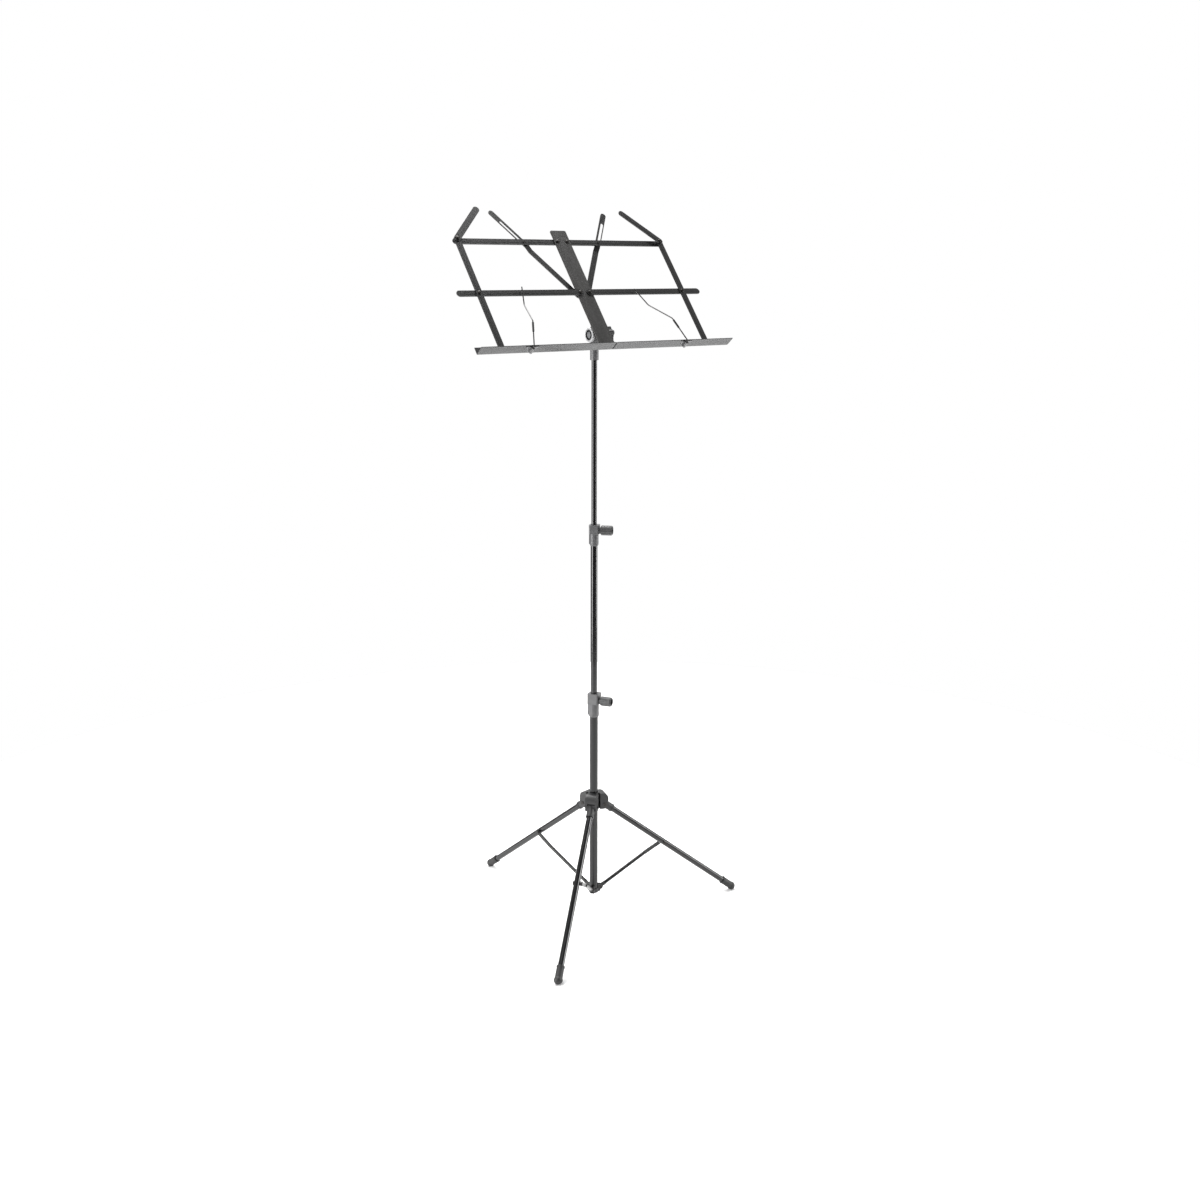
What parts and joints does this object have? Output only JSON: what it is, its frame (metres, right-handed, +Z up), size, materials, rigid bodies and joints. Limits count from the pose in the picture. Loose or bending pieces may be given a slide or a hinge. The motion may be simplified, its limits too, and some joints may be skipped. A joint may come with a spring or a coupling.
{
  "type": "music stand",
  "caption": "Folding music stand: telescopic three-tube column on a folding tripod, with a tilting desk of riveted strips that folds up, two ledges and page wires.",
  "frame": {"origin": "on the floor, on the column's axis, under the tripod's hub", "axes": "+Z up the column; the desk's front, where the reader stands, faces -Y; +X is the reader's right"},
  "size_m": [0.5195, 0.4689, 1.2438],
  "materials": {
    "tube_paint": "black enamel, semi-gloss",
    "strip_paint": "black paint on rolled steel strip, satin",
    "plate_paint": "dark grey-black paint on pressed sheet, satin",
    "plastic": "moulded dark grey plastic, fine satin",
    "bush_plastic": "moulded black plastic",
    "rubber": "black rubber, matte",
    "wire_paint": "black-coated steel wire",
    "zinc": "zinc-plated steel",
    "dark_rivet": "blackened steel",
    "brass": "turned brass"
  },
  "bodies": {
    "column": {"lower_tube": "tube_paint", "tripod_hub": "plastic", "hub_pins": "dark_rivet", "lower_clamp": "plastic"},
    "leg_collar": {"leg_collar": "plastic", "collar_pins": "dark_rivet"},
    "right_leg": {"right_leg": "tube_paint", "right_knuckle": "plastic", "right_foot": "rubber", "right_leg_rivet": "dark_rivet"},
    "right_strut": {"right_strut": "tube_paint"},
    "rear_leg": {"rear_leg": "tube_paint", "rear_knuckle": "plastic", "rear_foot": "rubber", "rear_leg_rivet": "dark_rivet"},
    "rear_strut": {"rear_strut": "tube_paint"},
    "front_leg": {"front_leg": "tube_paint", "front_knuckle": "plastic", "front_foot": "rubber", "front_leg_rivet": "dark_rivet"},
    "front_strut": {"front_strut": "tube_paint"},
    "middle_tube": {"middle_tube": "tube_paint", "middle_tube_bush": "bush_plastic", "upper_clamp": "plastic"},
    "upper_tube": {"upper_tube": "tube_paint", "upper_tube_bush": "bush_plastic"},
    "desk_socket": {"desk_socket": "plastic"},
    "desk_plate": {"desk_plate": "plate_paint", "desk_bracket": "strip_paint", "plate_rivets": "dark_rivet", "tilt_bolt": "zinc", "tilt_disc": "plastic"},
    "tilt_knob": {"tilt_knob": "plastic"},
    "lower_pad": {"lower_pad": "brass"},
    "lower_knob": {"lower_knob": "plastic"},
    "upper_pad": {"upper_pad": "brass"},
    "upper_knob": {"upper_knob": "plastic"},
    "left_ledge": {"left_ledge": "strip_paint", "left_clip": "strip_paint"},
    "left_mid_bar": {"left_mid_bar": "strip_paint"},
    "left_top_bar": {"left_top_bar": "strip_paint", "left_slide_pin": "dark_rivet"},
    "left_side_bar": {"left_side_bar": "strip_paint", "left_wing_rivets": "dark_rivet"},
    "left_diagonal": {"left_diagonal": "strip_paint"},
    "left_finger": {"left_finger": "strip_paint"},
    "left_page_wire": {"left_page_wire": "wire_paint", "left_sleeve": "rubber"},
    "right_ledge": {"right_ledge": "strip_paint", "right_clip": "strip_paint"},
    "right_mid_bar": {"right_mid_bar": "strip_paint"},
    "right_top_bar": {"right_top_bar": "strip_paint", "right_slide_pin": "dark_rivet"},
    "right_side_bar": {"right_side_bar": "strip_paint", "right_wing_rivets": "dark_rivet"},
    "right_diagonal": {"right_diagonal": "strip_paint"},
    "right_finger": {"right_finger": "strip_paint"},
    "right_page_wire": {"right_page_wire": "wire_paint", "right_sleeve": "rubber"}
  },
  "joints": [
    {"name": "tripod_fold", "type": "slide", "parent": "column", "child": "leg_collar", "axis": [0, 0, 1], "range_m": [0, 0.1271]},
    {"name": "right_leg_pivot", "type": "hinge", "parent": "leg_collar", "child": "right_leg", "pos_m": [0.01721, -0.00526, 0.208], "axis": [0.2924, 0.9563, 0], "range_deg": [-1, 46.5]},
    {"name": "right_strut_pivot", "type": "hinge", "parent": "column", "child": "right_strut", "pos_m": [0.01148, -0.00351, 0.045], "axis": [-0.2924, -0.9563, 0], "range_deg": [-1, 52.3]},
    {"name": "rear_leg_pivot", "type": "hinge", "parent": "leg_collar", "child": "rear_leg", "pos_m": [-0.00405, 0.01754, 0.208], "axis": [-0.9744, -0.225, 0], "range_deg": [-1, 46.5]},
    {"name": "rear_strut_pivot", "type": "hinge", "parent": "column", "child": "rear_strut", "pos_m": [-0.0027, 0.01169, 0.045], "axis": [0.9744, 0.225, 0], "range_deg": [-1, 52.3]},
    {"name": "front_leg_pivot", "type": "hinge", "parent": "leg_collar", "child": "front_leg", "pos_m": [-0.01316, -0.01228, 0.208], "axis": [0.682, -0.7314, 0], "range_deg": [-1, 46.5]},
    {"name": "front_strut_pivot", "type": "hinge", "parent": "column", "child": "front_strut", "pos_m": [-0.00878, -0.00818, 0.045], "axis": [-0.682, 0.7314, 0], "range_deg": [-1, 52.3]},
    {"name": "middle_tube_slide", "type": "slide", "parent": "column", "child": "middle_tube", "axis": [0, 0, -1], "range_m": [-0.015, 0.255]},
    {"name": "upper_tube_slide", "type": "slide", "parent": "middle_tube", "child": "upper_tube", "axis": [0, 0, -1], "range_m": [-0.03, 0.265]},
    {"name": "lower_pad_slide", "type": "slide", "parent": "column", "child": "lower_pad", "axis": [0.5446, -0.8387, 0], "range_m": [0, 0.002]},
    {"name": "lower_knob_turn", "type": "hinge", "parent": "lower_pad", "child": "lower_knob", "pos_m": [0, 0, 0.404], "axis": [0.5446, -0.8387, 0], "range_deg": [0, 720]},
    {"name": "upper_pad_slide", "type": "slide", "parent": "middle_tube", "child": "upper_pad", "axis": [0.7071, -0.7071, 0], "range_m": [0, 0.002]},
    {"name": "upper_knob_turn", "type": "hinge", "parent": "upper_pad", "child": "upper_knob", "pos_m": [0, 0, 0.71], "axis": [0.7071, -0.7071, 0], "range_deg": [0, 720]},
    {"name": "desk_swivel", "type": "hinge", "parent": "upper_tube", "child": "desk_socket", "pos_m": [0, 0, 0.998], "axis": [0, 0, 1], "continuous": true},
    {"name": "desk_tilt", "type": "hinge", "parent": "desk_socket", "child": "desk_plate", "pos_m": [0, 0, 1.039], "axis": [-1, 0, 0], "range_deg": [-35, 50]},
    {"name": "tilt_knob_turn", "type": "hinge", "parent": "desk_plate", "child": "tilt_knob", "pos_m": [0, 0, 1.039], "axis": [1, 0, 0], "continuous": true},
    {"name": "left_wing_fold", "type": "hinge", "parent": "desk_plate", "child": "left_ledge", "pos_m": [-0.0094, -0.0403, 1.02403], "axis": [0, 0.7771, -0.6293], "range_deg": [0, 84]},
    {"name": "left_mid_bar_pivot", "type": "hinge", "parent": "desk_plate", "child": "left_mid_bar", "pos_m": [-0.0094, 0.02692, 1.10728], "axis": [0, 0.7771, -0.6293], "range_deg": [-1, 85]},
    {"name": "left_top_bar_pivot", "type": "hinge", "parent": "desk_plate", "child": "left_top_bar", "pos_m": [-0.0094, 0.09744, 1.18785], "axis": [0, 0.7771, -0.6293], "range_deg": [-1, 85]},
    {"name": "left_side_bar_pivot", "type": "hinge", "parent": "left_mid_bar", "child": "left_side_bar", "pos_m": [-0.2034, 0.02552, 1.10841], "axis": [0, -0.7771, 0.6293], "range_deg": [-1, 85]},
    {"name": "left_diagonal_pivot", "type": "hinge", "parent": "desk_plate", "child": "left_diagonal", "pos_m": [-0.0094, 0.03368, 1.1018], "axis": [0, 0.7771, -0.6293], "range_deg": [-1, 30.5]},
    {"name": "left_finger_pivot", "type": "hinge", "parent": "left_side_bar", "child": "left_finger", "pos_m": [-0.2034, 0.09146, 1.1927], "axis": [0, -0.7771, 0.6293], "range_deg": [-45, 90]},
    {"name": "left_page_wire_pivot", "type": "hinge", "parent": "left_ledge", "child": "left_page_wire", "pos_m": [-0.157, -0.05585, 1.02246], "axis": [0, -0.7771, 0.6293], "range_deg": [-65, 95]},
    {"name": "right_wing_fold", "type": "hinge", "parent": "desk_plate", "child": "right_ledge", "pos_m": [0.0094, -0.0403, 1.02403], "axis": [0, -0.7771, 0.6293], "range_deg": [0, 84]},
    {"name": "right_mid_bar_pivot", "type": "hinge", "parent": "desk_plate", "child": "right_mid_bar", "pos_m": [0.0094, 0.02692, 1.10728], "axis": [0, -0.7771, 0.6293], "range_deg": [-1, 85]},
    {"name": "right_top_bar_pivot", "type": "hinge", "parent": "desk_plate", "child": "right_top_bar", "pos_m": [0.0094, 0.09744, 1.18785], "axis": [0, -0.7771, 0.6293], "range_deg": [-1, 85]},
    {"name": "right_side_bar_pivot", "type": "hinge", "parent": "right_mid_bar", "child": "right_side_bar", "pos_m": [0.2034, 0.02552, 1.10841], "axis": [0, 0.7771, -0.6293], "range_deg": [-1, 85]},
    {"name": "right_diagonal_pivot", "type": "hinge", "parent": "desk_plate", "child": "right_diagonal", "pos_m": [0.0094, 0.03368, 1.1018], "axis": [0, -0.7771, 0.6293], "range_deg": [-1, 30.5]},
    {"name": "right_finger_pivot", "type": "hinge", "parent": "right_side_bar", "child": "right_finger", "pos_m": [0.2034, 0.09146, 1.1927], "axis": [0, 0.7771, -0.6293], "range_deg": [-45, 90]},
    {"name": "right_page_wire_pivot", "type": "hinge", "parent": "right_ledge", "child": "right_page_wire", "pos_m": [0.149, -0.05585, 1.02246], "axis": [0, 0.7771, -0.6293], "range_deg": [-57, 103]}
  ],
  "couplings": [
    {"joint": "right_leg_pivot", "follows": "tripod_fold", "rad_per_m": 6.2996},
    {"joint": "right_strut_pivot", "follows": "tripod_fold", "rad_per_m": 7.0901},
    {"joint": "rear_leg_pivot", "follows": "tripod_fold", "rad_per_m": 6.2996},
    {"joint": "rear_strut_pivot", "follows": "tripod_fold", "rad_per_m": 7.0901},
    {"joint": "front_leg_pivot", "follows": "tripod_fold", "rad_per_m": 6.2996},
    {"joint": "front_strut_pivot", "follows": "tripod_fold", "rad_per_m": 7.0901},
    {"joint": "lower_pad_slide", "follows": "lower_knob_turn", "m_per_rad": 0.000159},
    {"joint": "upper_pad_slide", "follows": "upper_knob_turn", "m_per_rad": 0.000159},
    {"joint": "left_mid_bar_pivot", "follows": "left_wing_fold", "ratio": 1},
    {"joint": "left_top_bar_pivot", "follows": "left_wing_fold", "ratio": 1},
    {"joint": "left_side_bar_pivot", "follows": "left_wing_fold", "ratio": 1},
    {"joint": "left_diagonal_pivot", "follows": "left_wing_fold", "ratio": 0.3475},
    {"joint": "right_mid_bar_pivot", "follows": "right_wing_fold", "ratio": 1},
    {"joint": "right_top_bar_pivot", "follows": "right_wing_fold", "ratio": 1},
    {"joint": "right_side_bar_pivot", "follows": "right_wing_fold", "ratio": 1},
    {"joint": "right_diagonal_pivot", "follows": "right_wing_fold", "ratio": 0.3475}
  ]
}
